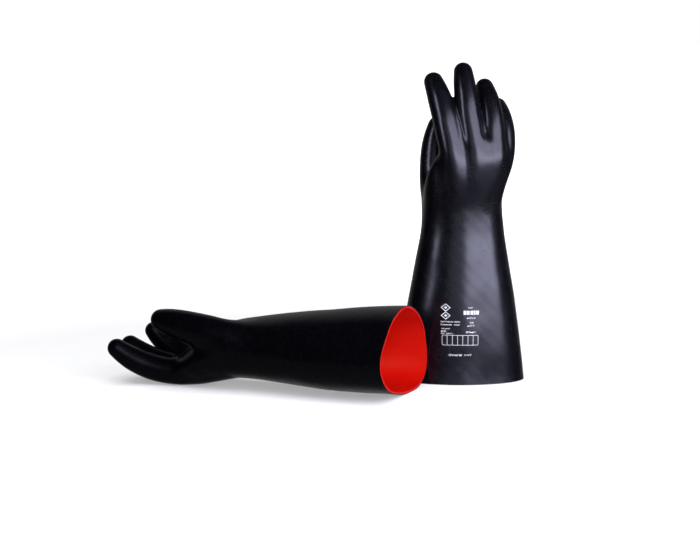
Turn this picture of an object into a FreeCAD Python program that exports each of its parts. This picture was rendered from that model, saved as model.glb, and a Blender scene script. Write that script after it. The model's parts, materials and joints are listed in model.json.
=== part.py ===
"""A pair of long electrical insulating gauntlets in dipped two-colour rubber.

Each glove is a seamless hand-shaped skin, open and cut square at the cuff. It has two bonded rubber layers, a thin
black one outside and a thicker red one inside, and a marking printed in white ink on the back of its cuff.
The right glove stands on its cuff with the fingers up. The left glove lies on its back beside it, mouth towards +X.

A glove is laid out in its own frame, in millimetres: +Z from the cuff rim to the fingertips, +Y out of the palm,
and X across the hand, positive towards the little finger of the right glove. The left glove mirrors X.
"""

import FreeCAD, Part
import math
import os

V = FreeCAD.Vector
doc = FreeCAD.newDocument("insulating_gloves")
dims = doc.addObject("Spreadsheet::Sheet", "dims")

# ---------------------------------------------------------------- driving dimensions

GENERAL = {
    "outer_layer": 1.0,  # black rubber
    "inner_layer": 2.0,  # red rubber
    "ink_film": 0.1,
    "tip_swell": 0.15,  # a fingertip's ball over the end of its stall
    "stand_turn": 22.0,  # degrees the standing glove is turned about the vertical
    "left_rim_x": -23.3,  # the left glove's rim from the right glove's axis
    "left_axis_y": -138.2,
    "trim_side": 400.0,  # block that trims the cuffs square
    "trim_height": 500.0,
}

# The hand and cuff of the right glove: height of the section, its centre, and its half width and half depth.
STATION_COLUMNS = ("height", "centre_x", "centre_y", "half_width", "half_depth")
RIGHT_STATIONS = {
    "below_rim": (-12.0, 0.0, 0.0, 82.5, 53.0),
    "rim": (0.0, 0.3, 0.0, 80.8, 52.0),
    "cuff_low": (50.0, 1.2, 0.0, 74.2, 50.0),
    "cuff_middle": (100.0, 1.8, 0.0, 66.6, 47.5),
    "cuff_high": (150.0, 2.2, -1.0, 58.0, 43.0),
    "forearm": (190.0, 2.3, -3.2, 51.8, 39.2),
    "wrist": (215.0, 2.2, -6.2, 49.6, 37.0),
    "heel": (240.0, 3.2, -12.0, 49.4, 33.8),
    "palm": (262.0, 6.2, -19.6, 48.4, 28.2),
    "knuckles": (280.0, 11.6, -25.6, 44.0, 22.2),
    "web": (292.0, 14.6, -28.8, 36.0, 16.6),
    "web_top": (302.0, 15.6, -29.0, 22.0, 9.5),
}

# The fingers of the right glove. A stall starts at the tail, buried in the palm, and curves to the root, where it
# leaves the hand. From there its centreline leans sideways from lean_root to lean_tip (degrees, positive towards
# the little finger) while it bends out of the palm from pitch to pitch + curl.
FINGER_COLUMNS = (
    "tail_x", "tail_y", "tail_z", "tail_radius", "root_x", "root_y", "root_z",
    "lean_root", "lean_tip", "pitch", "curl", "length", "root_radius", "tip_radius",
)
RIGHT_FINGERS = {
    "index": (-12, -25, 226, 13, -11.9, -34, 284, -9, -20.5, 3, 32, 96.5, 16.3, 11.8),
    "middle": (8, -25, 228, 13, 16.0, -34, 287, -12.5, -4, 2, 30, 103.2, 15.4, 11.5),
    "ring": (22, -22, 226, 13, 38.2, -28.5, 282, 2, -15.5, 5, 36, 91.5, 15.4, 10.9),
    "little": (29, -16, 212, 12, 46.6, -19, 266, 17.5, -20, 8, 36, 85, 14.4, 10.9),
    "thumb": (-14, 2, 165, 17, -27, 14, 216, -10, 10, 13, -4, 101, 19.8, 13.0),
}

# How the left glove lies: the soft cuff bends the hand towards the thumb, and foreshortens a little.
LEFT_BEND = 0.085
LEFT_LENGTH = 0.97
LEFT_STATION_CHANGES = {
    "below_rim": (-12.0, 0.8, -1.1, 81.0, 54.4),
    "rim": (0.0, 0.8, -1.0, 80.0, 54.3),
    "cuff_low": (50.0, -3.0, -2.2, 73.0, 52.6),
    "cuff_middle": (97.0, -6.7, -4.0, 66.2, 48.5),
    "cuff_high": (145.5, -10.5, -4.6, 58.0, 42.8),
    "forearm": (184.3, -13.9, -6.2, 51.8, 38.6),
    "wrist": (208.5, -16.0, -8.6, 49.6, 36.4),
    "heel": (232.8, -17.2, -14.2, 49.4, 33.8),
}
LEFT_FINGER_CHANGES = {
    "index": {"pitch": -2.5, "curl": 41.0, "length": 91.0},
    "middle": {"pitch": 0.0, "curl": 36.0, "length": 87.0},
    "ring": {"pitch": 6.0, "curl": 44.0, "length": 78.0},
    "little": {"pitch": 5.0, "curl": 34.0, "length": 83.0},
    "thumb": {"lean_root": -8.0, "lean_tip": 6.0, "pitch": 12.5, "length": 93.0, "root_radius": 20.5},
}
LEFT_HAND_DROP = 5.4  # the back of the left hand sinks to the surface

# The printed marking, measured on the back of the cuff: x across it and z up from the rim.
PRINT = {
    "print_reach": 80.0,  # how far the cutting shapes stand out from the cuff's axis
    "ink_line": 1.1,
    "row_height": 1.7,
    "bar_gap": 1.3,
    "grid_line": 0.9,
    "grid_left": -24.5,
    "grid_width": 44.7,
    "grid_height": 12.6,
    "grid_bottom": 49.4,
    "cell_count": 7.0,
    "emblem_x": -20.0,
    "emblem_radius": 4.8,
    "emblem_lower_z": 86.2,
    "emblem_upper_z": 95.2,
    "headline_x": 1.9,
    "headline_z": 89.7,
    "headline_length": 18.9,
    "headline_height": 4.6,
}
# Rows of plain bars: x where the row starts, z of its middle, and the lengths of its bars.
PRINT_ROWS = {
    "caption_left": (
        (-25.9, 78.4, (3.6, 6.2, 2.6, 7.0)),
        (-25.9, 74.8, (4.4, 8.0, 8.0)),
        (-24.9, 69.8, (10.5,)),
        (-25.6, 66.8, (6.1,)),
        (-25.6, 63.9, (4.9, 8.3)),
    ),
    "caption_right": (
        (7.6, 96.4, (6.5,)),
        (6.1, 83.0, (3.2, 6.4)),
        (9.8, 77.5, (4.3,)),
        (6.8, 73.4, (3.0, 4.9)),
        (5.0, 65.7, (4.6, 6.2)),
    ),
    "footer": ((-16.0, 37.4, (18.2, 8.6)),),
}

TAIL_STEPS, FINGER_STEPS = 3, 7  # sections from a finger's tail to its root, and on to the centre of its tip
TAPER = 3.5  # the power with which a finger narrows, most of it near the tip
GLOVES = {"right": 1, "left": -1}


def left_stations():
    """The right glove's sections bent towards the thumb, with the cuff as it spreads on a table."""
    stations = {}
    for name, (height, x, y, half_width, half_depth) in RIGHT_STATIONS.items():
        bend = LEFT_BEND * max(height, 0.0)
        drop = LEFT_HAND_DROP if name in ("palm", "knuckles", "web", "web_top") else 0.0
        stations[name] = (height * LEFT_LENGTH, x - bend, y - drop, half_width, half_depth)
    stations.update(LEFT_STATION_CHANGES)
    return stations


def left_fingers():
    """The right glove's fingers moved with the bent hand, each with its own changes of posture."""
    fingers = {}
    for name, values in RIGHT_FINGERS.items():
        finger = dict(zip(FINGER_COLUMNS, values))
        for end in ("tail", "root"):
            finger[f"{end}_x"] -= LEFT_BEND * finger[f"{end}_z"]
            finger[f"{end}_y"] -= LEFT_HAND_DROP
            finger[f"{end}_z"] *= LEFT_LENGTH
        finger.update(LEFT_FINGER_CHANGES[name])
        fingers[name] = tuple(finger[column] for column in FINGER_COLUMNS)
    return fingers


def fill_sheet():
    """Every driving dimension as a plain number in the sheet, under an alias."""
    cells = dict(GENERAL)
    cells.update(PRINT)
    for rows_name, rows in PRINT_ROWS.items():
        for row, (_, _, lengths) in enumerate(rows):
            cells.update({f"{rows_name}_{row}_{number}": length for number, length in enumerate(lengths)})
    cells["skin_depth"] = 0.0
    cells["bond_depth"] = GENERAL["outer_layer"]
    cells["cavity_depth"] = GENERAL["outer_layer"] + GENERAL["inner_layer"]
    cells["ink_depth"] = -GENERAL["ink_film"]
    stations = {"right": RIGHT_STATIONS, "left": left_stations()}
    fingers = {"right": RIGHT_FINGERS, "left": left_fingers()}
    for glove in GLOVES:
        for columns, rows in ((STATION_COLUMNS, stations[glove]), (FINGER_COLUMNS, fingers[glove])):
            for name, values in rows.items():
                for column, value in zip(columns, values):
                    cells[f"{glove}_{name}_{column}"] = value
    for row, (alias, value) in enumerate(cells.items(), start=1):
        dims.set(f"A{row}", alias)
        dims.set(f"B{row}", f"{value:.6g}")
        dims.setAlias(f"B{row}", alias)
    doc.recompute()


def size(alias):
    return float(dims.get(alias))


def add(kind, name, expressions=None, **properties):
    """A document object with its plain properties set and its sizes bound to the sheet."""
    thing = doc.addObject(kind, name)
    if hasattr(thing, "Refine"):
        thing.Refine = False  # keeps the seams between smooth faces where they are
    for key, value in properties.items():
        setattr(thing, key, value)
    for key, expression in (expressions or {}).items():
        thing.setExpression(key, expression)
    return thing


# ---------------------------------------------------------------- the hand-shaped skins


def hand_loft(glove, depth):
    """The cuff, wrist and palm as a smooth loft through ellipses, `depth` inside the glove's surface."""
    side = GLOVES[glove]
    sections = []
    for station in RIGHT_STATIONS:
        key = f"dims.{glove}_{station}"
        ellipse = add(
            "Part::Ellipse",
            f"{glove}_{depth}_{station}",
            {
                "MajorRadius": f"{key}_half_width - dims.{depth}_depth",
                "MinorRadius": f"{key}_half_depth - dims.{depth}_depth",
                "Placement.Base.x": f"{side} * {key}_centre_x",
                "Placement.Base.y": f"{key}_centre_y",
                "Placement.Base.z": f"{key}_height",
            },
        )
        sections.append(ellipse)
    return add("Part::Loft", f"{glove}_{depth}_hand", Sections=sections, Solid=True, Ruled=False)


def centreline(glove, finger):
    """Points and directions along a finger, each with its radius at the skin as an expression."""
    get = {column: size(f"{glove}_{finger}_{column}") for column in FINGER_COLUMNS}
    side = GLOVES[glove]
    key = f"dims.{glove}_{finger}"

    def direction(share):
        lean = math.radians(get["lean_root"] + (get["lean_tip"] - get["lean_root"]) * share)
        bend = math.radians(get["pitch"] + get["curl"] * share)
        return V(side * math.sin(lean) * math.cos(bend), math.sin(bend), math.cos(lean) * math.cos(bend))

    def radius(first, last, share):
        return f"{key}_{first}_radius * {1 - share:.4f} + {key}_{last}_radius * {share:.4f}"

    tail = V(side * get["tail_x"], get["tail_y"], get["tail_z"])
    root = V(side * get["root_x"], get["root_y"], get["root_z"])
    elbow = root - direction(0) * (root.distanceToPoint(tail) / 2)
    line = []
    for i in range(TAIL_STEPS):
        u = i / TAIL_STEPS
        point = tail * (1 - u) ** 2 + elbow * (2 * u * (1 - u)) + root * u**2
        way = (elbow - tail) * (1 - u) + (root - elbow) * u
        line.append((point, way.normalize(), radius("tail", "root", u)))
    line.append((root, direction(0), radius("root", "tip", 0)))
    fine = 10
    step = get["length"] / (FINGER_STEPS * fine)
    point = V(root)
    for i in range(1, FINGER_STEPS * fine + 1):
        point = point + direction((i - 0.5) / (FINGER_STEPS * fine)) * step
        if i % fine == 0:
            share = i / (FINGER_STEPS * fine)
            line.append((point, direction(share), radius("root", "tip", share**TAPER)))
    return line


def finger_stall(glove, finger, depth):
    """One finger stall: a loft through circles along its centreline, and a ball that rounds its tip."""
    line = centreline(glove, finger)
    sections = []
    for number, (point, direction, radius) in enumerate(line):
        circle = add(
            "Part::Circle",
            f"{glove}_{depth}_{finger}_{number}",
            {"Radius": f"{radius} - dims.{depth}_depth"},
            Placement=FreeCAD.Placement(point, FreeCAD.Rotation(V(0, 0, 1), direction)),
        )
        sections.append(circle)
    stall = add("Part::Loft", f"{glove}_{depth}_{finger}_stall", Sections=sections, Solid=True, Ruled=False)
    tip_point, tip_direction, _ = line[-1]
    ball = add(
        "Part::Sphere",
        f"{glove}_{depth}_{finger}_tip",
        {"Radius": f"dims.{glove}_{finger}_tip_radius + dims.tip_swell - dims.{depth}_depth"},
        Placement=FreeCAD.Placement(tip_point, FreeCAD.Rotation(V(0, 0, 1), tip_direction)),
    )
    return add("Part::Fuse", f"{glove}_{depth}_{finger}_whole", Base=stall, Tool=ball)


def whole_skin(glove, depth):
    """Hand and five finger stalls as one solid."""
    stalls = [finger_stall(glove, finger, depth) for finger in RIGHT_FINGERS]
    return add("Part::MultiFuse", f"{glove}_{depth}", Shapes=[hand_loft(glove, depth)] + stalls)


def trim_block():
    """Everything above the square cut of a cuff."""
    half = size("trim_side") / 2
    return add(
        "Part::Box",
        "trim_block",
        {"Length": "dims.trim_side", "Width": "dims.trim_side", "Height": "dims.trim_height"},
        Placement=FreeCAD.Placement(V(-half, -half, 0), FreeCAD.Rotation()),
    )


def glove_layers(glove, block):
    """The black outer layer and the red inner layer of one glove, cut square at the cuff."""
    skin, bond, cavity = (whole_skin(glove, depth) for depth in ("skin", "bond", "cavity"))
    layers = {}
    for layer, outside, inside in (("outer", skin, bond), ("inner", bond, cavity)):
        whole = add("Part::Cut", f"{glove}_{layer}_untrimmed", Base=outside, Tool=inside)
        layers[f"{glove}_glove_{layer}_layer"] = add("Part::Common", f"{glove}_{layer}", Base=whole, Tool=block)
    return layers


# ---------------------------------------------------------------- the printed marking


def bar(name, x, z, length, height):
    """A block that stands out of the back of the cuff, to cut one bar of ink. Length and height are expressions."""
    block = add("Part::Box", name, {"Width": "dims.print_reach", "Length": length, "Height": height})
    doc.recompute([block])
    corner = V(x, -size("print_reach"), z - block.Height.Value / 2)
    block.Placement = FreeCAD.Placement(corner, FreeCAD.Rotation())
    return block


def bars_of(glove, rows_name):
    """Blocks for rows of plain bars, which stand in for lines of small print."""
    blocks = []
    for row, (x, z, lengths) in enumerate(PRINT_ROWS[rows_name]):
        for number, length in enumerate(lengths):
            alias = f"{rows_name}_{row}_{number}"
            blocks.append(bar(f"{glove}_{alias}", x, z, f"dims.{alias}", "dims.row_height"))
            x += length + size("bar_gap")
    return blocks


def joined(name, blocks):
    return add("Part::MultiFuse", name, Shapes=blocks)


def diamond_outline(name, x, z):
    """An outlined diamond standing out of the cuff: a square prism on its corner, less a smaller one."""
    upright = FreeCAD.Rotation(V(1, 0, 0), 90).multiply(FreeCAD.Rotation(V(0, 0, 1), 90))
    prisms = [
        add(
            "Part::Prism",
            f"{name}_{part}",
            {"Circumradius": f"dims.emblem_radius{shrink}", "Height": "dims.print_reach"},
            Polygon=4,
            Placement=FreeCAD.Placement(V(x, 0, z), upright),
        )
        for part, shrink in (("outside", ""), ("inside", " - dims.ink_line * sqrt(2)"))
    ]
    return add("Part::Cut", name, Base=prisms[0], Tool=prisms[1])


def emblem(glove):
    """Two stacked diamonds, a plain stand-in for the symbols of the trade."""
    x = size("emblem_x")
    outlines = [diamond_outline(f"{glove}_diamond_{row}", x, size(f"emblem_{row}_z")) for row in ("lower", "upper")]
    return joined(f"{glove}_emblem_blocks", outlines)


def date_grid(glove):
    """A row of empty boxes for test dates, as one outlined frame with dividers."""
    left, width, height, bottom, line = (
        size(f"grid_{part}") for part in ("left", "width", "height", "bottom", "line")
    )
    count = int(size("cell_count"))
    cell = (width - line) / count
    blocks = [
        bar(f"{glove}_grid_post_{i}", left + i * cell, bottom + height / 2, "dims.grid_line", "dims.grid_height")
        for i in range(count + 1)
    ]
    for name, z in (("bottom", bottom + line / 2), ("top", bottom + height - line / 2)):
        blocks.append(bar(f"{glove}_grid_{name}", left, z, "dims.grid_width", "dims.grid_line"))
    return joined(f"{glove}_grid_blocks", blocks)


def caption(glove, rows_name, extra=()):
    return joined(f"{glove}_{rows_name}_blocks", bars_of(glove, rows_name) + list(extra))


def glove_printing(glove):
    """Each mark is what its blocks cut out of the thin film of ink that would cover the whole cuff."""
    over, under = hand_loft(glove, "ink"), doc.getObject(f"{glove}_skin_hand")
    x, z = size("headline_x"), size("headline_z")
    headline = bar(f"{glove}_headline", x, z, "dims.headline_length", "dims.headline_height")
    marks = {
        "emblem": emblem(glove),
        "date_grid": date_grid(glove),
        "caption_left": caption(glove, "caption_left"),
        "caption_right": caption(glove, "caption_right", [headline]),
        "footer_line": caption(glove, "footer"),
    }
    nodes = {}
    for mark, blocks in marks.items():
        raised = add("Part::Common", f"{glove}_{mark}_raised", Base=blocks, Tool=over)
        nodes[f"{glove}_glove_printed_{mark}"] = add("Part::Cut", f"{glove}_{mark}_ink", Base=raised, Tool=under)
    return nodes


# ---------------------------------------------------------------- placing, checking and writing


def place_gloves(nodes):
    """Stands the right glove up, lays the left one on its back, and centres the pair over the origin."""
    turn = FreeCAD.Rotation(V(0, 0, 1), size("stand_turn"))
    lay = FreeCAD.Rotation(V(0, -1, 0), V(0, 0, 1), V(-1, 0, 0), "ZYX")
    places = {
        "right": FreeCAD.Placement(V(0, 0, 0), turn),
        "left": FreeCAD.Placement(V(size("left_rim_x"), size("left_axis_y"), 0), lay),
    }

    def put():
        for name, node in nodes.items():
            node.Placement = places[name.split("_")[0]]
        doc.recompute()

    def box(names):
        whole = FreeCAD.BoundBox()
        for name in names:
            whole.add(nodes[name].Shape.optimalBoundingBox(False))
        return whole

    put()
    places["left"].Base.z -= box(["left_glove_outer_layer"]).ZMin
    put()
    whole = box(["right_glove_outer_layer", "left_glove_outer_layer"])
    shift = V(-whole.Center.x, -whole.Center.y, 0)
    for place in places.values():
        place.Base = place.Base + shift
    put()
    return places


def check(nodes):
    """Stops if any feature failed or any sub-part is not a sound solid."""
    for thing in doc.Objects:
        if "Invalid" in thing.State or "Error" in thing.State:
            raise RuntimeError(f"{thing.Name} failed: {thing.State}")
    for name, node in nodes.items():
        if node.Shape.isNull() or not node.Shape.isValid() or not node.Shape.Solids:
            raise RuntimeError(f"{name} is not a sound solid")
        print(f"{name}: {len(node.Shape.Solids)} solids, {node.Shape.Volume / 1000:.2f} cm3")


def main():
    fill_sheet()
    nodes = {}
    block = trim_block()
    for glove in GLOVES:
        nodes.update(glove_layers(glove, block))
        nodes.update(glove_printing(glove))
    for name, node in nodes.items():
        node.Label = name
    doc.recompute()
    places = place_gloves(nodes)
    check(nodes)
    for glove, place in places.items():
        print(glove, "rim centre", [round(c, 3) for c in place.Base])
    gap = nodes["right_glove_outer_layer"].Shape.distToShape(nodes["left_glove_outer_layer"].Shape)[0]
    print(f"gap between the gloves {gap:.2f} mm")
    os.makedirs("parts", exist_ok=True)
    for name, node in nodes.items():
        node.Shape.exportStep(f"parts/{name}.step")


main()
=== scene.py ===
import json
import math

import bmesh
import bpy
import numpy as np
from mathutils import Matrix, Vector

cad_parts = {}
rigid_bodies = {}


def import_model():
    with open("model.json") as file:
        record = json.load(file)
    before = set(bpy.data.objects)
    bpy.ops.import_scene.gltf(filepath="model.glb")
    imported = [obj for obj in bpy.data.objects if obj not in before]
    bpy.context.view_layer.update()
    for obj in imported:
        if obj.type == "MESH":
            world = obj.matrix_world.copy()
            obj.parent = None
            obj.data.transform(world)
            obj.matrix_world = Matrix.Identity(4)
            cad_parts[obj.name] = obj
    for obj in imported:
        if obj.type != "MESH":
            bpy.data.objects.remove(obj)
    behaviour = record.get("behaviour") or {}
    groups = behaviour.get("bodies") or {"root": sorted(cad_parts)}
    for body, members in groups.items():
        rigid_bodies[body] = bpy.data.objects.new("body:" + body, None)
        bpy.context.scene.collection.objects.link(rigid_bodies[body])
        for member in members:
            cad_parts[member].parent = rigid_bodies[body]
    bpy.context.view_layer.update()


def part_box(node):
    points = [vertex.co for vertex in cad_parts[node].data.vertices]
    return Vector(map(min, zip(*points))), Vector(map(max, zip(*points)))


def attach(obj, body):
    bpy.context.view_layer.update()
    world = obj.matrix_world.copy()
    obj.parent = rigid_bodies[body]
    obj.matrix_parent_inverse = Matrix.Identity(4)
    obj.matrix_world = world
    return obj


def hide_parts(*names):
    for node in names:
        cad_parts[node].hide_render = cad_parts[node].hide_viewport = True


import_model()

# A glove is shaped in its own frame in millimetres, as if it were a right glove: x across the hand, positive
# towards the little finger, y out of the palm, z from the cuff's rim to the fingertips.
# The left glove is that shape mirrored in x.

MM = 0.001

# ------------------------------------------------------------------ the shapes of the two hands

# z, centre x, centre y, half width, half depth of the hand and cuff
RIGHT_BODY = [
    (-12, 0.0, 0.0, 82.5, 53.0),
    (0, 0.3, 0.0, 80.8, 52.0),
    (50, 1.2, 0.0, 74.2, 50.0),
    (100, 1.8, 0.0, 66.6, 47.5),
    (150, 2.2, -1.0, 58.0, 43.0),
    (190, 2.3, -3.0, 51.3, 39.0),
    (215, 2.2, -6.0, 48.8, 36.5),
    (240, 2.9, -12.0, 48.4, 33.2),
    (262, 6.0, -19.4, 47.2, 27.6),
    (280, 11.6, -25.4, 43.0, 21.6),
    (292, 14.6, -28.6, 36.0, 16.2),
]
# tail: a ball buried in the hand that the finger's base runs back to, with its radius.
# root: where the centreline leaves the hand. lean: sideways angle at the root and at the tip, in degrees.
# pitch: bend out of the palm at the root, and curl: what the finger adds to it by its tip.
RIGHT_FINGERS = {
    "index": dict(tail=(-12, -25, 226, 13), root=(-11.9, -34, 284), lean=(-9, -20.5), pitch=3, curl=32,
                  length=96.5, radii=(16.3, 11.8)),
    "middle": dict(tail=(8, -25, 228, 13), root=(16.0, -34, 287), lean=(-12.5, -4), pitch=2, curl=30,
                   length=103.2, radii=(15.4, 11.5)),
    "ring": dict(tail=(22, -22, 226, 13), root=(38.2, -28.5, 282), lean=(2, -15.5), pitch=5, curl=36,
                 length=91.5, radii=(15.4, 10.9)),
    "little": dict(tail=(29, -16, 212, 12), root=(46.6, -19, 266), lean=(17.5, -20), pitch=8, curl=36,
                   length=85, radii=(14.4, 10.9)),
    "thumb": dict(tail=(-14, 2, 165, 17), root=(-27, 14, 216), lean=(-10, 10), pitch=13, curl=-4,
                  length=101, radii=(19.6, 13.0)),
}
# The lying glove's soft cuff bends the hand towards the thumb and foreshortens a little.
BEND, FORESHORTEN = 0.085, 0.97
LEFT_BODY = [(z * FORESHORTEN, x - BEND * max(z, 0), y, a, b) for z, x, y, a, b in RIGHT_BODY]
LEFT_BODY[:8] = [
    (-12, 0.0, 0.0, 78.5, 54.6),
    (0, 0.0, 0.0, 78.0, 54.3),
    (50, -3.0, -2.0, 72.8, 52.3),
    (97, -6.7, -4.0, 66.2, 48.5),
    (145.5, -10.5, -4.6, 58.0, 42.8),
    (184.3, -13.9, -6.2, 51.3, 38.4),
    (208.5, -16.1, -8.4, 48.8, 36.0),
    (232.8, -17.5, -14.0, 48.4, 33.2),
]
LEFT_DROP = 4.8  # the back of the left hand sinks towards the floor
LEFT_BODY[8:] = [(z, x, y - LEFT_DROP, a, b) for z, x, y, a, b in LEFT_BODY[8:]]
LEFT_FINGERS = {}
for name, finger in RIGHT_FINGERS.items():
    x, y, z = finger["root"]
    tx, ty, tz, tr = finger["tail"]
    LEFT_FINGERS[name] = dict(
        finger,
        root=(x - BEND * z, y - LEFT_DROP, z * FORESHORTEN),
        tail=(tx - BEND * tz, ty - LEFT_DROP, tz * FORESHORTEN, tr),
    )
LEFT_FINGERS["index"].update(pitch=-2.5, curl=41, length=91)
LEFT_FINGERS["middle"].update(pitch=0, curl=36, length=87)
LEFT_FINGERS["ring"].update(pitch=6, curl=44, length=78)
LEFT_FINGERS["little"].update(pitch=5, curl=34, length=83)
LEFT_FINGERS["thumb"].update(lean=(-8, 6), pitch=12.5, length=93, radii=(20.5, 13.0))

# The lying cuff sags into an egg: flat underneath, widest low down on the far side. These are the rim's radii
# over its ellipse's, all round it in even steps from +x through +y.
EGG = np.array([
    1.0, 0.962, 0.948, 0.963, 0.97, 0.933, 0.902, 0.919,
    1.023, 1.041, 1.012, 0.971, 0.989, 1.101, 1.233, 1.143,
])
EGG_REACH = 170.0  # where up the cuff it has faded out

# Slow unevenness of the dipped skin: height, wavelength and direction of each wave, all in mm
RIPPLES = [
    (0.10, 74.0, (0.3, 0.2, 0.93), 0.4),
    (0.07, 43.0, (0.8, -0.3, 0.5), 2.1),
    (0.05, 31.0, (-0.5, 0.6, 0.62), 4.0),
    (0.03, 19.0, (0.2, 0.9, -0.4), 1.2),
    (0.02, 13.0, (0.7, 0.1, 0.7), 3.3),
]

TAIL_STEPS, FINGER_STEPS = 4, 10
FAR = 40.0  # a point further than this from a finger need not know how far
TAPER = 3.5  # the power with which a finger narrows, most of it near the tip
WEB, KNUCKLE, THUMB_WEB = 5.0, 8.0, 13.0  # how softly the fingers meet each other and the hand
CAP_HEIGHT = 14.0  # how far the palm rounds over past its last section
GRID_LOW, GRID_SIZE = np.array([-100.0, -75.0, -10.0]), np.array([200.0, 150.0, 425.0])  # room for a glove
RELAX_ROUNDS, SETTLE_ROUNDS = 6, 2
BALL_STEPS = 3  # corrections that find the nearest place for a finger's sliding ball
TRIM_REACH = 0.45  # vertices this near the rim's plane snap to it


def interpolate(table, z):
    """A smooth curve through the table's rows at each z: the other columns, as arrays."""
    rows = np.array(table, float)
    knots = rows[:, 0]
    i = np.clip(np.searchsorted(knots, z) - 1, 0, len(knots) - 2)
    h = knots[i + 1] - knots[i]
    s = np.clip((z - knots[i]) / h, 0, 1)
    a, b = 2 * s**3 - 3 * s**2 + 1, s**3 - 2 * s**2 + s
    c, d = -2 * s**3 + 3 * s**2, s**3 - s**2
    columns = []
    for column in rows[:, 1:].T:
        slope = np.gradient(column, knots)
        columns.append(a * column[i] + b * h * slope[i] + c * column[i + 1] + d * h * slope[i + 1])
    return columns


def finger_line(finger):
    """Points and radii along a finger's centreline, from its tail in the hand to the centre of its tip."""
    *tail, tail_radius = finger["tail"]
    root = np.array(finger["root"], float)
    r0, r1 = finger["radii"]

    def direction(share):
        lean = math.radians(finger["lean"][0] + (finger["lean"][1] - finger["lean"][0]) * share)
        bend = math.radians(finger["pitch"] + finger["curl"] * share)
        return np.array([math.sin(lean) * math.cos(bend), math.sin(bend), math.cos(lean) * math.cos(bend)])

    elbow = root - direction(0) * np.linalg.norm(root - tail) / 2
    points, radii = [], []
    for i in range(TAIL_STEPS + 1):
        u = i / TAIL_STEPS
        points.append((1 - u) ** 2 * np.array(tail) + 2 * u * (1 - u) * elbow + u * u * root)
        radii.append(tail_radius + (r0 - tail_radius) * u)
    step = finger["length"] / FINGER_STEPS
    for i in range(FINGER_STEPS):
        points.append(points[-1] + step * direction((i + 0.5) / FINGER_STEPS))
        radii.append(r0 + (r1 - r0) * ((i + 1) / FINGER_STEPS) ** TAPER)
    return np.array(points), np.array(radii)


def smooth_min(a, b, k):
    h = np.clip(0.5 + 0.5 * (b - a) / k, 0, 1)
    return b + (a - b) * h - k * h * (1 - h)


class Finger:
    """A finger as a ball of changing size that slides along a smooth curve."""

    def __init__(self, finger):
        points, radii = finger_line(finger)
        self.knots = np.column_stack([points, radii])
        self.slopes = np.gradient(self.knots, axis=0)
        self.reach = radii.max() + FAR

    def at(self, s):
        """The ball's centre and radius, and how they change, at each place s along the knots."""
        i = np.clip(s.astype(int), 0, len(self.knots) - 2)
        u = (s - i)[:, None]
        k0, k1, m0, m1 = self.knots[i], self.knots[i + 1], self.slopes[i], self.slopes[i + 1]
        ball = (2 * u**3 - 3 * u**2 + 1) * k0 + (u**3 - 2 * u**2 + u) * m0
        ball += (3 * u**2 - 2 * u**3) * k1 + (u**3 - u**2) * m1
        change = 6 * (u**2 - u) * (k0 - k1) + (3 * u**2 - 4 * u + 1) * m0 + (3 * u**2 - 2 * u) * m1
        return ball, change

    def distance(self, points):
        """How far points are from the finger's surface, or FAR where they are nowhere near it."""
        line = self.knots[:, :3]
        near = np.all((points > line.min(0) - self.reach) & (points < line.max(0) + self.reach), axis=1)
        p = points[near]
        best, s = np.full(len(p), np.inf), np.zeros(len(p))
        for i, (a, b) in enumerate(zip(line[:-1], line[1:])):
            share = np.clip((p - a) @ (b - a) / ((b - a) @ (b - a)), 0, 1)
            gap = p - a - share[:, None] * (b - a)
            gap = (gap * gap).sum(1)
            closer = gap < best
            best[closer], s[closer] = gap[closer], i + share[closer]
        for _ in range(BALL_STEPS):
            ball, change = self.at(s)
            gap = p - ball[:, :3]
            length = np.linalg.norm(gap, axis=1) + 1e-9
            pull = (gap * change[:, :3]).sum(1) + change[:, 3] * length
            s = np.clip(s + pull / (change[:, :3] ** 2).sum(1), 0, len(line) - 1)
        ball, _ = self.at(s)
        whole = np.full(len(points), float(FAR))
        whole[near] = np.linalg.norm(p - ball[:, :3], axis=1) - ball[:, 3]
        return whole


class Glove:
    """The distance to a glove's outer surface, and what is needed to mesh it."""

    def __init__(self, body, fingers, egg):
        self.body, self.egg = body, egg
        self.fingers = [Finger(finger) for finger in fingers.values()]

    def body_distance(self, points):
        z = points[:, 2]
        top = self.body[-1][0]
        cx, cy, a, b = interpolate(self.body, np.minimum(z, top))
        x, y, up = (points[:, 0] - cx) / a, (points[:, 1] - cy) / b, np.maximum(z - top, 0)
        if self.egg:
            angle = np.arctan2(y, x)
            waves = np.fft.rfft(EGG) / len(EGG)
            swell = sum(
                (1 if k in (0, len(EGG) // 2) else 2) * (wave * np.exp(1j * k * angle)).real
                for k, wave in enumerate(waves)
            )
            fade = np.clip(1 - z / EGG_REACH, 0, 1)
            fade = fade * fade * (3 - 2 * fade)
            ratio = 1 + (swell - 1) * fade
            x, y = x / ratio, y / ratio
        k0 = np.sqrt(x**2 + y**2 + (up / CAP_HEIGHT) ** 2) + 1e-9
        k1 = np.sqrt((x / a) ** 2 + (y / b) ** 2 + (up / CAP_HEIGHT**2) ** 2) + 1e-9
        return k0 * (k0 - 1) / k1

    def distance(self, points):
        *fingers, thumb = (finger.distance(points) for finger in self.fingers)
        hand = fingers[0]
        for finger in fingers[1:]:
            hand = smooth_min(hand, finger, WEB)
        d = smooth_min(self.body_distance(points), hand, KNUCKLE)
        d = smooth_min(d, thumb, THUMB_WEB)
        for height, wavelength, direction, phase in RIPPLES:
            d = d + height * np.sin(points @ (np.array(direction) * 2 * math.pi / wavelength) + phase)
        return d

    def normal(self, points, step=0.5):
        """The unit normals at some points, and how fast the distance grows along them."""
        g = np.stack([self.distance(points + e) - self.distance(points - e) for e in np.eye(3) * step], 1)
        g = g / (2 * step)
        return g / np.linalg.norm(g, axis=1)[:, None], np.linalg.norm(g, axis=1)


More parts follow.
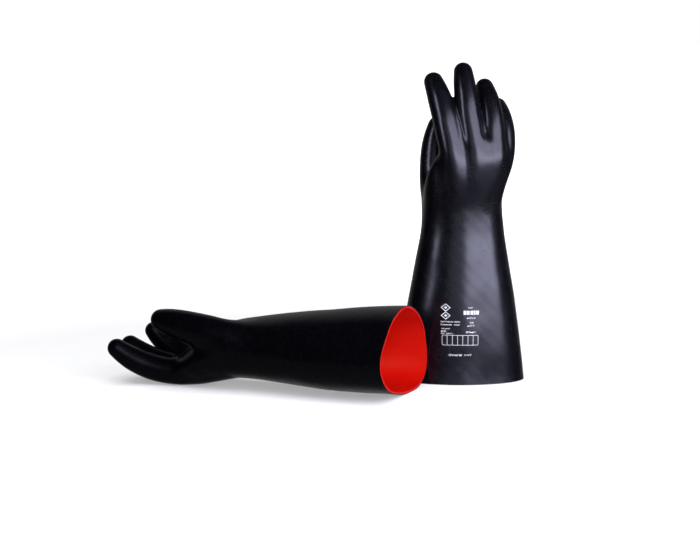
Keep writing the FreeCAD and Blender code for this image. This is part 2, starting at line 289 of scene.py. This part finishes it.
def surface_net(glove, cell):
    """Even quads over the glove's outer surface, from the cells that the surface passes through."""
    size = np.ceil(GRID_SIZE / cell).astype(int)
    axes = [GRID_LOW[i] + cell * np.arange(size[i]) for i in range(3)]
    grid = np.stack(np.meshgrid(*axes, indexing="ij"), -1)
    field = glove.distance(grid.reshape(-1, 3)).reshape(size)
    inside = field < 0
    corners = sum(
        inside[i : size[0] - 1 + i, j : size[1] - 1 + j, k : size[2] - 1 + k].astype(int)
        for i in (0, 1) for j in (0, 1) for k in (0, 1)
    )
    mixed = (corners > 0) & (corners < 8)
    index = np.full(mixed.shape, -1)
    index[mixed] = np.arange(mixed.sum())
    points = GRID_LOW + cell * (np.argwhere(mixed) + 0.5)
    faces = []
    for axis in range(3):
        one, two = [(1, 2), (2, 0), (0, 1)][axis]
        a = np.moveaxis(inside, axis, 0)
        crossing = np.moveaxis(a[:-1] != a[1:], 0, axis)
        outward = np.moveaxis(a[:-1], 0, axis)
        at = np.argwhere(crossing)
        keep = (at[:, one] > 0) & (at[:, two] > 0)
        keep &= (at[:, one] < size[one] - 1) & (at[:, two] < size[two] - 1)
        at = at[keep]
        ring = []
        for back_one, back_two in ((0, 0), (1, 0), (1, 1), (0, 1)):
            near = at.copy()
            near[:, one] -= back_one
            near[:, two] -= back_two
            ring.append(index[near[:, 0], near[:, 1], near[:, 2]])
        quad = np.stack(ring, 1)
        flip = ~outward[at[:, 0], at[:, 1], at[:, 2]]
        quad[flip] = quad[flip][:, ::-1]
        faces.append(quad)
    return points, np.concatenate(faces)


def relax(glove, points, faces):
    """Evens out the vertices along the surface and puts each one exactly on it."""
    edges = np.concatenate([faces[:, [i, (i + 1) % 4]] for i in range(4)])
    edges = np.unique(np.sort(edges, 1), axis=0)
    count = np.bincount(edges.ravel(), minlength=len(points))[:, None]
    for _ in range(RELAX_ROUNDS):
        total = np.zeros_like(points)
        np.add.at(total, edges[:, 0], points[edges[:, 1]])
        np.add.at(total, edges[:, 1], points[edges[:, 0]])
        mean = total / np.maximum(count, 1)
        normal, slope = glove.normal(points)
        move = (mean - points) * 0.5
        move -= (move * normal).sum(1)[:, None] * normal
        points = points + move
        points = points - normal * (glove.distance(points) / slope)[:, None]
    for _ in range(SETTLE_ROUNDS):
        normal, slope = glove.normal(points)
        points = points - normal * (glove.distance(points) / slope)[:, None]
    return points


def glove_skin(glove, cell):
    """Vertices, faces and normals of the outer surface, cut square at the rim."""
    points, faces = surface_net(glove, cell)
    points = relax(glove, points, faces)
    bm = bmesh.new()
    verts = [bm.verts.new(p) for p in points]
    for face in faces:
        bm.faces.new([verts[i] for i in face])
    geometry = bm.verts[:] + bm.edges[:] + bm.faces[:]
    bmesh.ops.bisect_plane(
        bm, geom=geometry, dist=TRIM_REACH, plane_co=(0, 0, 0), plane_no=(0, 0, -1), clear_outer=True
    )
    loose = [v for v in bm.verts if not v.link_faces]
    bmesh.ops.delete(bm, geom=loose, context="VERTS")
    bm.verts.index_update()
    points = np.array([v.co[:] for v in bm.verts])
    faces = [[v.index for v in face.verts] for face in bm.faces]
    rim = np.array([v.is_boundary for v in bm.verts])
    bm.free()
    points[rim, 2] = 0.0
    normal, _ = glove.normal(points)
    return points, faces, normal, rim


def shell(points, faces, normal, rim, outer, inner):
    """A closed skin between two depths below the surface, with any cut edge in the rim's plane."""
    direction = normal.copy()
    if rim is not None:
        flat = np.linalg.norm(direction[rim][:, :2], axis=1)[:, None]
        direction[rim] /= flat
        direction[rim, 2] = 0.0
    count = len(points)
    both = np.concatenate([points - direction * outer, points - direction * inner])
    quads = [list(face) for face in faces] + [[i + count for i in reversed(face)] for face in faces]
    seen = {}
    for face in faces:
        for a, b in zip(face, face[1:] + face[:1]):
            seen[(a, b)] = seen.get((a, b), 0) + 1
    for a, b in list(seen):
        if (b, a) not in seen:
            quads.append([b, a, a + count, b + count])
    return both, quads


# ------------------------------------------------------------------ where the gloves are

R_LOW, R_HIGH = (Vector(corner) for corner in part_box("right_glove_outer_layer"))
L_LOW, L_HIGH = (Vector(corner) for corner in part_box("left_glove_outer_layer"))
STAND_TURN = math.radians(22)  # the standing glove is turned about the vertical
RIGHT_RIM = Vector(((R_LOW.x + R_HIGH.x) / 2, (R_LOW.y + R_HIGH.y) / 2, 0))
RIGHT_RIM -= Matrix.Rotation(STAND_TURN, 3, "Z") @ Vector((RIGHT_BODY[1][1] * MM, 0, 0))
RIGHT_PLACE = Matrix.Translation(RIGHT_RIM) @ Matrix.Rotation(STAND_TURN, 4, "Z")
LIE = Matrix(((0, 0, -1, 0), (-1, 0, 0, 0), (0, 1, 0, 0), (0, 0, 0, 1)))


def left_place(lowest):
    """The left glove lies on its back, its rim's plane at the CAD's and its lowest point on the floor."""
    return Matrix.Translation((L_HIGH.x, (L_LOW.y + L_HIGH.y) / 2, -lowest * MM)) @ LIE


def make_piece(name, points, faces, place, mirrored, material, body, slot, nodes, sharp=40):
    """A mesh object from points in a glove's frame, riding on its body and standing for CAD nodes."""
    mesh = bpy.data.meshes.new(name)
    points = np.array(points) * MM
    if mirrored:
        points = points * np.array([-1, 1, 1])
        faces = [face[::-1] for face in faces]
    mesh.from_pydata(points.tolist(), [], [list(face) for face in faces])
    mesh.update()
    mesh.shade_smooth()
    mesh.set_sharp_from_angle(angle=math.radians(sharp))
    mesh.transform(place)
    mesh.materials.append(material)
    piece = bpy.data.objects.new(name, mesh)
    bpy.context.scene.collection.objects.link(piece)
    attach(piece, body)
    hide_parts(*nodes)
    return piece


# ------------------------------------------------------------------ materials


class Nodes:
    """A short way to write a material's node tree."""

    def __init__(self, name):
        self.material = bpy.data.materials.new(name)
        self.material.use_nodes = True
        self.tree = self.material.node_tree
        self.shader = self.tree.nodes["Principled BSDF"]

    def add(self, kind, inputs=None, **settings):
        node = self.tree.nodes.new(kind)
        for key, value in settings.items():
            setattr(node, key, value)
        for key, value in (inputs or {}).items():
            if isinstance(value, bpy.types.NodeSocket):
                self.tree.links.new(value, node.inputs[key])
            else:
                node.inputs[key].default_value = value
        return node

    def link(self, source, socket):
        self.tree.links.new(source, self.shader.inputs[socket])

    def noise(self, where, scale, detail=3.0, roughness=0.55):
        inputs = {"Vector": where, "Scale": scale, "Detail": detail, "Roughness": roughness}
        return self.add("ShaderNodeTexNoise", inputs).outputs["Fac"]

    def ramp(self, factor, stops):
        node = self.add("ShaderNodeValToRGB", {"Fac": factor})
        elements = node.color_ramp.elements
        while len(elements) < len(stops):
            elements.new(0.5)
        for element, (position, colour) in zip(elements, stops):
            element.position = position
            element.color = (*colour, 1) if len(colour) == 3 else colour
        return node.outputs["Color"]

    def range(self, value, low, high, to_low, to_high):
        node = self.add("ShaderNodeMapRange", {"Value": value, 1: low, 2: high, 3: to_low, 4: to_high})
        return node.outputs["Result"]

    def math(self, operation, a, b):
        return self.add("ShaderNodeMath", {0: a, 1: b}, operation=operation).outputs["Value"]

    def bump(self, height, distance, strength=1.0, below=None):
        inputs = {"Height": height, "Distance": distance, "Strength": strength}
        if below is not None:
            inputs["Normal"] = below
        return self.add("ShaderNodeBump", inputs).outputs["Normal"]


def black_rubber():
    n = Nodes("black_rubber_skin")
    where = n.add("ShaderNodeTexCoord").outputs["Object"]
    cloud = n.noise(where, 22.0, 4.0)
    mottle = n.noise(where, 140.0, 5.0, 0.6)
    grain = n.noise(where, 1500.0, 4.0, 0.65)
    cells = n.add("ShaderNodeTexVoronoi", {"Vector": where, "Scale": 210.0, "Randomness": 1.0})
    speck = n.range(cells.outputs["Distance"], 0.0, 0.12, 1.0, 0.0)
    chance = n.range(n.noise(where, 95.0, 1.0), 0.62, 0.7, 0.0, 1.0)
    speck = n.math("MULTIPLY", speck, chance)
    n.link(n.ramp(mottle, [(0.3, (0.0006, 0.0006, 0.0011)), (0.7, (0.0013, 0.0012, 0.0021))]), "Base Color")
    rough = n.math("ADD", n.range(cloud, 0.3, 0.7, 0.235, 0.27), n.range(mottle, 0.3, 0.7, -0.02, 0.025))
    n.link(n.math("ADD", rough, n.math("MULTIPLY", speck, 0.15)), "Roughness")
    low = n.bump(mottle, 0.00004)
    fine = n.bump(grain, 0.000035, below=low)
    n.link(n.bump(n.math("MULTIPLY", speck, -1.0), 0.00008, below=fine), "Normal")
    n.shader.inputs["Specular IOR Level"].default_value = 0.5
    n.shader.inputs["Specular Tint"].default_value = (0.84, 0.82, 1.0, 1)
    return n.material


def red_rubber():
    n = Nodes("red_rubber_lining")
    where = n.add("ShaderNodeTexCoord").outputs["Object"]
    cloud = n.noise(where, 18.0, 4.0)
    mottle = n.noise(where, 120.0, 5.0, 0.6)
    grain = n.noise(where, 1300.0, 3.0, 0.6)
    n.link(n.ramp(cloud, [(0.3, (0.42, 0.0012, 0.0002)), (0.7, (0.50, 0.0018, 0.0004))]), "Base Color")
    n.link(n.range(mottle, 0.3, 0.7, 0.42, 0.52), "Roughness")
    low = n.bump(mottle, 0.00015)
    n.link(n.bump(grain, 0.00003, below=low), "Normal")
    n.shader.inputs["Specular IOR Level"].default_value = 0.3
    n.shader.inputs["Specular Tint"].default_value = (1.0, 0.72, 0.42, 1)
    return n.material


def white_ink():
    n = Nodes("white_ink")
    where = n.add("ShaderNodeTexCoord").outputs["Object"]
    wear = n.noise(where, 900.0, 4.0, 0.7)
    n.link(n.ramp(wear, [(0.36, (0.24, 0.24, 0.26)), (0.5, (0.55, 0.56, 0.59))]), "Base Color")
    n.link(n.range(wear, 0.3, 0.7, 0.5, 0.62), "Roughness")
    n.link(n.bump(wear, 0.00002), "Normal")
    return n.material


BLACK, RED, INK = black_rubber(), red_rubber(), white_ink()

# ------------------------------------------------------------------ the printed marking

INK_ABOVE, INK_BELOW = 0.1, 0.03
INK_STEP = 1.2  # longest edge of the printed film's mesh
FILM_SEARCH, FILM_STEPS = (-75.0, -15.0), 24  # where the back of the cuff is looked for, and how finely


class Print:
    """Flat shapes in x and z, in mm on the back of the cuff, as they read from outside."""

    def __init__(self):
        self.points, self.faces = [], []

    def patch(self, corners):
        """A four-sided shape, divided so that it can follow the cuff. Corners go round anticlockwise."""
        a, b, c, d = (np.array(corner, float) for corner in corners)
        across = max(1, math.ceil(max(np.linalg.norm(b - a), np.linalg.norm(c - d)) / INK_STEP))
        up = max(1, math.ceil(max(np.linalg.norm(d - a), np.linalg.norm(c - b)) / INK_STEP))
        first = len(self.points)
        for j in range(up + 1):
            for i in range(across + 1):
                u, v = i / across, j / up
                self.points.append((a * (1 - u) + b * u) * (1 - v) + (d * (1 - u) + c * u) * v)
        for j in range(up):
            for i in range(across):
                k = first + j * (across + 1) + i
                self.faces.append([k, k + 1, k + across + 2, k + across + 1])

    def bar(self, x, z, length, height, slant=0.0):
        low, high = z - height / 2, z + height / 2
        s = slant * height / 2
        self.patch([(x - s, low), (x + length - s, low), (x + length + s, high), (x + s, high)])

    def outline(self, corners, line):
        """A closed line of the given width inside a convex outline."""
        corners = [np.array(c, float) for c in corners]
        count = len(corners)
        inner = []
        for i, corner in enumerate(corners):
            before, after = corners[i - 1], corners[(i + 1) % count]
            one, two = corner - before, after - corner
            one, two = one / np.linalg.norm(one), two / np.linalg.norm(two)
            n1, n2 = np.array([-one[1], one[0]]), np.array([-two[1], two[0]])
            middle = n1 + n2
            inner.append(corner + middle * (line / (1 + n1 @ n2)))
        for i in range(count):
            j = (i + 1) % count
            self.patch([corners[i], corners[j], inner[j], inner[i]])


def small_print(sheet, rng, x, z, length, height, slant=0.0):
    """A row of strokes and blocks that looks like small print and spells nothing."""
    end = x + length
    while x < end - 0.5:
        kind = rng.integers(0, 5)
        width = min(height * (0.55 + 0.35 * rng.random()), end - x)
        thin = height * 0.2
        if kind == 0:
            sheet.bar(x, z, thin * 1.3, height, slant)
            width = thin * 1.3
        elif kind == 1:
            sheet.bar(x, z, thin, height, slant)
            sheet.bar(x + width - thin, z - height * 0.1, thin, height * 0.8, slant)
        elif kind == 2:
            for level in (-0.4, 0.0, 0.4):
                sheet.bar(x, z + level * height, width, thin, slant)
        elif kind == 3:
            sheet.bar(x, z - height * 0.14, width, height * 0.72, slant)
        else:
            sheet.bar(x, z, thin, height, slant)
            sheet.bar(x + thin, z + height * 0.4, width - thin, thin, slant)
        x += width + height * (0.16 if rng.random() < 0.8 else 0.5)


def diamond(x, z, half_width, half_height):
    return [(x, z - half_height), (x + half_width, z), (x, z + half_height), (x - half_width, z)]


def rounded_box(x0, x1, z0, z1, r, steps=5):
    corners = []
    turns = ((x1 - r, z0 + r, -90), (x1 - r, z1 - r, 0), (x0 + r, z1 - r, 90), (x0 + r, z0 + r, 180))
    for cx, cz, start in turns:
        for i in range(steps + 1):
            angle = math.radians(start + 90 * i / steps)
            corners.append((cx + r * math.cos(angle), cz + r * math.sin(angle)))
    return corners


# The middles of two stacked diamonds, the half width and half height of each, and of the solid one inside it
EMBLEM_X, EMBLEM_ROWS = -20.0, (86.0, 95.8)
DIAMOND, DIAMOND_CORE, DIAMOND_LINE = (6.0, 4.9), (2.0, 1.6), 0.8
GRID = dict(left=-24.5, right=20.2, bottom=49.4, top=62.0, cells=7, corner=1.8, line=0.5)


def emblem(rng):
    sheet = Print()
    for z in EMBLEM_ROWS:
        sheet.outline(diamond(EMBLEM_X, z, *DIAMOND), DIAMOND_LINE)
        sheet.patch(diamond(EMBLEM_X, z, *DIAMOND_CORE))
    return sheet


def date_grid(rng):
    sheet = Print()
    g = GRID
    line = g["line"]
    sheet.outline(rounded_box(g["left"], g["right"], g["bottom"], g["top"], g["corner"]), line)
    width = (g["right"] - g["left"]) / g["cells"]
    for i in range(1, g["cells"]):
        x = g["left"] + i * width
        sheet.bar(x - line / 2, (g["bottom"] + g["top"]) / 2, line, g["top"] - g["bottom"] - 2 * line)
    return sheet


# x, z, length, height of each row of small print
LEFT_ROWS = [
    (-25.9, 78.4, 14.5, 1.6), (-9.6, 78.4, 7.1, 1.6), (-25.9, 74.8, 13.7, 1.6), (-9.6, 74.8, 7.2, 1.6),
    (-24.9, 69.8, 10.5, 1.2), (-25.6, 66.8, 6.1, 2.0), (-25.6, 63.9, 4.9, 1.6), (-19.0, 63.9, 8.0, 1.6),
]
RIGHT_ROWS = [
    (7.6, 95.8, 6.5, 1.3), (6.1, 83.0, 10.9, 1.7), (9.8, 77.5, 4.3, 1.7), (6.8, 73.4, 9.2, 2.0),
    (5.0, 65.7, 12.1, 1.9),
]
HEADLINE = (1.9, 89.7, 18.9, 4.8)
# Where each block starts and how wide it is, as shares of the line's length
HEADLINE_BLOCKS = ((0, 0.19), (0.225, 0.13), (0.39, 0.05), (0.48, 0.16), (0.68, 0.1), (0.82, 0.18))
FOOTER = (-16.0, 37.4, 28.3, 2.3)
FOOTER_WORDS, FOOTER_SLANT = ((0, 0.6), (0.68, 0.32)), 0.25


def caption_left(rng):
    sheet = Print()
    for row in LEFT_ROWS:
        small_print(sheet, rng, *row)
    return sheet


def caption_right(rng):
    sheet = Print()
    for row in RIGHT_ROWS:
        small_print(sheet, rng, *row)
    x, z, length, height = HEADLINE
    for share, width in HEADLINE_BLOCKS:
        sheet.bar(x + share * length, z, width * length, height)
    return sheet


def footer_line(rng):
    sheet = Print()
    x, z, length, height = FOOTER
    for share, width in FOOTER_WORDS:
        small_print(sheet, rng, x + length * share, z, length * width, height, FOOTER_SLANT)
    return sheet


def film(glove, sheet, mirrored):
    """The print laid on the back of a cuff as a thin film."""
    flat = np.array(sheet.points)
    x = -flat[:, 0] if mirrored else flat[:, 0]
    near, far = (np.full(len(flat), y) for y in FILM_SEARCH)
    for _ in range(FILM_STEPS):
        y = (near + far) / 2
        inside = glove.distance(np.stack([x, y, flat[:, 1]], 1)) < 0
        far, near = np.where(inside, y, far), np.where(inside, near, y)
    points = np.stack([x, y, flat[:, 1]], 1)
    normal, _ = glove.normal(points)
    faces = [face[::-1] for face in sheet.faces] if mirrored else sheet.faces
    return shell(points, faces, normal, None, -INK_ABOVE, INK_BELOW)


# ------------------------------------------------------------------ building the gloves

BLACK_DEPTH, WALL_DEPTH = 1.0, 3.0
HAND_GAP = 0.4  # the lining starts this much deeper in the hand, so that it stays hidden in the tight webs
HAND_START, HAND_FULL = 190.0, 225.0  # the heights over which that comes in
CELL = 2.0
MARKS = {draw.__name__: draw for draw in (emblem, date_grid, caption_left, caption_right, footer_line)}
PRINT_SEED = 7


def build_glove(side, body, fingers, mirrored, egg):
    glove = Glove(body, fingers, egg)
    points, faces, normal, rim = glove_skin(glove, CELL)
    place = left_place(points[:, 1].min()) if mirrored else RIGHT_PLACE
    on = f"{side}_glove"
    outer = shell(points, faces, normal, rim, 0.0, BLACK_DEPTH)
    hand = np.clip((points[:, 2:] - HAND_START) / (HAND_FULL - HAND_START), 0, 1)
    inner = shell(points, faces, normal, rim, BLACK_DEPTH + HAND_GAP * hand, WALL_DEPTH)
    make_piece(f"{on}_black_skin", *outer, place, mirrored, BLACK, on, "black_rubber", [f"{on}_outer_layer"])
    make_piece(f"{on}_red_lining", *inner, place, mirrored, RED, on, "red_rubber", [f"{on}_inner_layer"])
    rng = np.random.default_rng(PRINT_SEED)
    for mark, draw in MARKS.items():
        printed = film(glove, draw(rng), mirrored)
        node = f"{on}_printed_{mark}"
        make_piece(f"{on}_ink_{mark}", *printed, place, mirrored, INK, on, "white_ink", [node])


build_glove("right", RIGHT_BODY, RIGHT_FINGERS, mirrored=False, egg=False)
build_glove("left", LEFT_BODY, LEFT_FINGERS, mirrored=True, egg=True)

# ------------------------------------------------------------------ studio

FLOOR_RADIUS = 40.0


def make_floor():
    bpy.ops.mesh.primitive_circle_add(vertices=96, radius=FLOOR_RADIUS, fill_type="NGON", location=(0, 0, 0))
    floor = bpy.context.object
    floor.name = "floor"
    n = Nodes("floor_white")
    n.shader.inputs["Base Color"].default_value = (0.8, 0.8, 0.81, 1)
    n.shader.inputs["Roughness"].default_value = 0.12
    n.shader.inputs["Specular IOR Level"].default_value = 0.06
    n.shader.inputs["Emission Color"].default_value = (1, 1, 1, 1)
    where = n.add("ShaderNodeTexCoord").outputs["Object"]
    distance = n.add("ShaderNodeVectorMath", {0: where}, operation="LENGTH").outputs["Value"]
    n.link(n.range(distance, 0.5, 1.6, 0.3, 1.0), "Emission Strength")  # fades into white
    floor.data.materials.append(n.material)
    floor.visible_glossy = False  # black rubber then mirrors the dim room, not the bright sweep
    return floor


def area_light(name, azimuth, elevation, distance, width, height, power, colour, centre=(0.1, 0.0, 0.2)):
    """A softbox that faces the gloves. Azimuth is counted from the camera's side, positive to its right."""
    data = bpy.data.lights.new(name, "AREA")
    data.shape = "RECTANGLE"
    data.size, data.size_y = width, height
    data.energy = power
    data.color = colour
    light = bpy.data.objects.new(name, data)
    bpy.context.scene.collection.objects.link(light)
    turn = STAND_TURN + math.radians(azimuth)
    up = math.radians(elevation)
    way = Vector((math.sin(turn) * math.cos(up), -math.cos(turn) * math.cos(up), math.sin(up)))
    light.location = Vector(centre) + way * distance
    light.rotation_euler = way.to_track_quat("Z", "Y").to_euler()
    return light


COOL = (0.86, 0.88, 1.0)
# Each softbox: azimuth and elevation in degrees, distance, width, height, power
SOFTBOXES = {
    "softbox_front_right_low": (42, 2, 1.3, 1.6, 0.36, 16),
    "softbox_front_right_high": (42, 27, 1.3, 1.6, 0.75, 19),
    "softbox_front": (5, 12, 1.6, 1.6, 1.3, 5),
    "softbox_left_strip": (-58, 22, 1.8, 0.22, 1.4, 12),
}
FLAGGED = "softbox_left_strip"  # kept off the lying glove
OVERHEAD = dict(strength=2.6, angle=math.radians(70), tilt=(math.radians(6), math.radians(4), 0))


def make_lights():
    boxes = {name: area_light(name, *values, COOL) for name, values in SOFTBOXES.items()}
    lit = bpy.data.collections.new("lit_by_left_strip")
    for thing in bpy.data.objects:
        if thing.type == "MESH" and thing.name.startswith("right_glove_"):
            lit.objects.link(thing)
    boxes[FLAGGED].light_linking.receiver_collection = lit
    sun = bpy.data.lights.new("overhead", "SUN")
    sun.energy = OVERHEAD["strength"]
    sun.angle = OVERHEAD["angle"]
    top = bpy.data.objects.new("overhead", sun)
    bpy.context.scene.collection.objects.link(top)
    top.rotation_euler = OVERHEAD["tilt"]
    top.visible_glossy = False


# Where the room glows: a direction, the range of closeness to it over which the glow grows, and its strengths
WORLD_GLOW = [
    ((-math.sin(STAND_TURN), math.cos(STAND_TURN), 0), 0.35, 0.95, 0.002, 0.22),
    ((0, 0, -1), 0.1, 0.4, 0.002, 0.05),
]


def make_world():
    """White behind the gloves, dim in front of them, so that black rubber keeps its depth."""
    world = bpy.data.worlds.new("studio")
    bpy.context.scene.world = world
    world.use_nodes = True
    tree = world.node_tree
    background = tree.nodes["Background"]
    where = tree.nodes.new("ShaderNodeTexCoord")
    strength = None
    for way, low, high, dim, bright in WORLD_GLOW:
        dot = tree.nodes.new("ShaderNodeVectorMath")
        dot.operation = "DOT_PRODUCT"
        tree.links.new(where.outputs["Generated"], dot.inputs[0])
        dot.inputs[1].default_value = way
        spread = tree.nodes.new("ShaderNodeMapRange")
        spread.interpolation_type = "SMOOTHSTEP"
        tree.links.new(dot.outputs["Value"], spread.inputs["Value"])
        for socket, value in zip(spread.inputs[1:5], (low, high, dim, bright)):
            socket.default_value = value
        if strength is None:
            strength = spread.outputs["Result"]
            continue
        more = tree.nodes.new("ShaderNodeMath")
        more.operation = "MAXIMUM"
        tree.links.new(strength, more.inputs[0])
        tree.links.new(spread.outputs["Result"], more.inputs[1])
        strength = more.outputs["Value"]
    path = tree.nodes.new("ShaderNodeLightPath")
    seen = tree.nodes.new("ShaderNodeMath")
    seen.operation = "MAXIMUM"
    tree.links.new(strength, seen.inputs[0])
    tree.links.new(path.outputs["Is Camera Ray"], seen.inputs[1])
    tree.links.new(seen.outputs["Value"], background.inputs["Strength"])
    background.inputs["Color"].default_value = (1, 1, 1, 1)


CAMERA_EYE = Vector((-0.1377, -2.3633, 0.4393))  # from the standing glove's rim centre, in its own frame
CAMERA_PITCH = math.radians(7.3)
FOCAL, IMAGE_WIDTH, SENSOR = 1904.8, 700, 36  # focal length and width in the same unit, sensor in mm


def make_camera():
    """A long lens a little above the gloves, 2.4 m away and square to the standing one."""
    ahead = Vector((0, math.cos(CAMERA_PITCH), -math.sin(CAMERA_PITCH)))
    turn = Matrix.Rotation(STAND_TURN, 3, "Z")
    data = bpy.data.cameras.new("camera")
    data.sensor_width = SENSOR
    data.lens = FOCAL / IMAGE_WIDTH * SENSOR
    data.clip_end = 200
    camera = bpy.data.objects.new("camera", data)
    bpy.context.scene.collection.objects.link(camera)
    camera.location = RIGHT_RIM + turn @ CAMERA_EYE
    camera.rotation_euler = (turn @ ahead).to_track_quat("-Z", "Y").to_euler()
    bpy.context.scene.camera = camera


make_floor()
make_lights()
make_world()
make_camera()
bpy.context.scene.view_settings.view_transform = "Standard"
